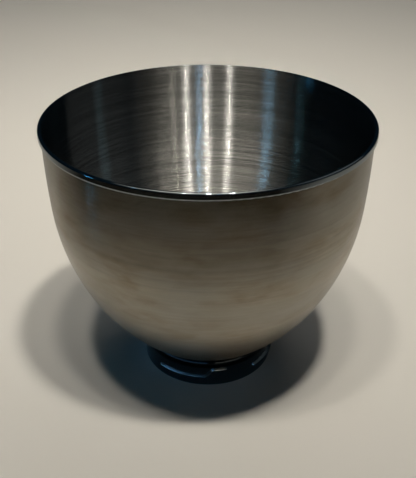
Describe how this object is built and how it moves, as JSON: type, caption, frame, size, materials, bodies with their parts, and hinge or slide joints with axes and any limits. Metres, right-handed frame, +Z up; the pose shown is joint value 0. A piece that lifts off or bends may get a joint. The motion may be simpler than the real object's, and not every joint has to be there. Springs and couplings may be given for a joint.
{
  "type": "stand mixer bowl",
  "caption": "Deep stainless steel stand mixer bowl with a rolled rim and a short foot ring whose pressed bayonet ramps lock into a tilt-head mixer's clamp plate.",
  "frame": {"origin": "centre of the foot ring, on the surface that the bowl stands on", "axes": "+Z up along the bowl's axis; -Y is the pictured front, where one bayonet ramp steps up to its stop"},
  "size_m": [0.22, 0.22, 0.187],
  "materials": {
    "brushed_stainless": "satin, brushed round the bowl, with a polished rim and light staining",
    "polished_stainless": "semi-polished drawn sheet"
  },
  "bodies": {
    "root": {"bowl_shell": "brushed_stainless", "foot_ring": "polished_stainless"}
  },
  "joints": []
}
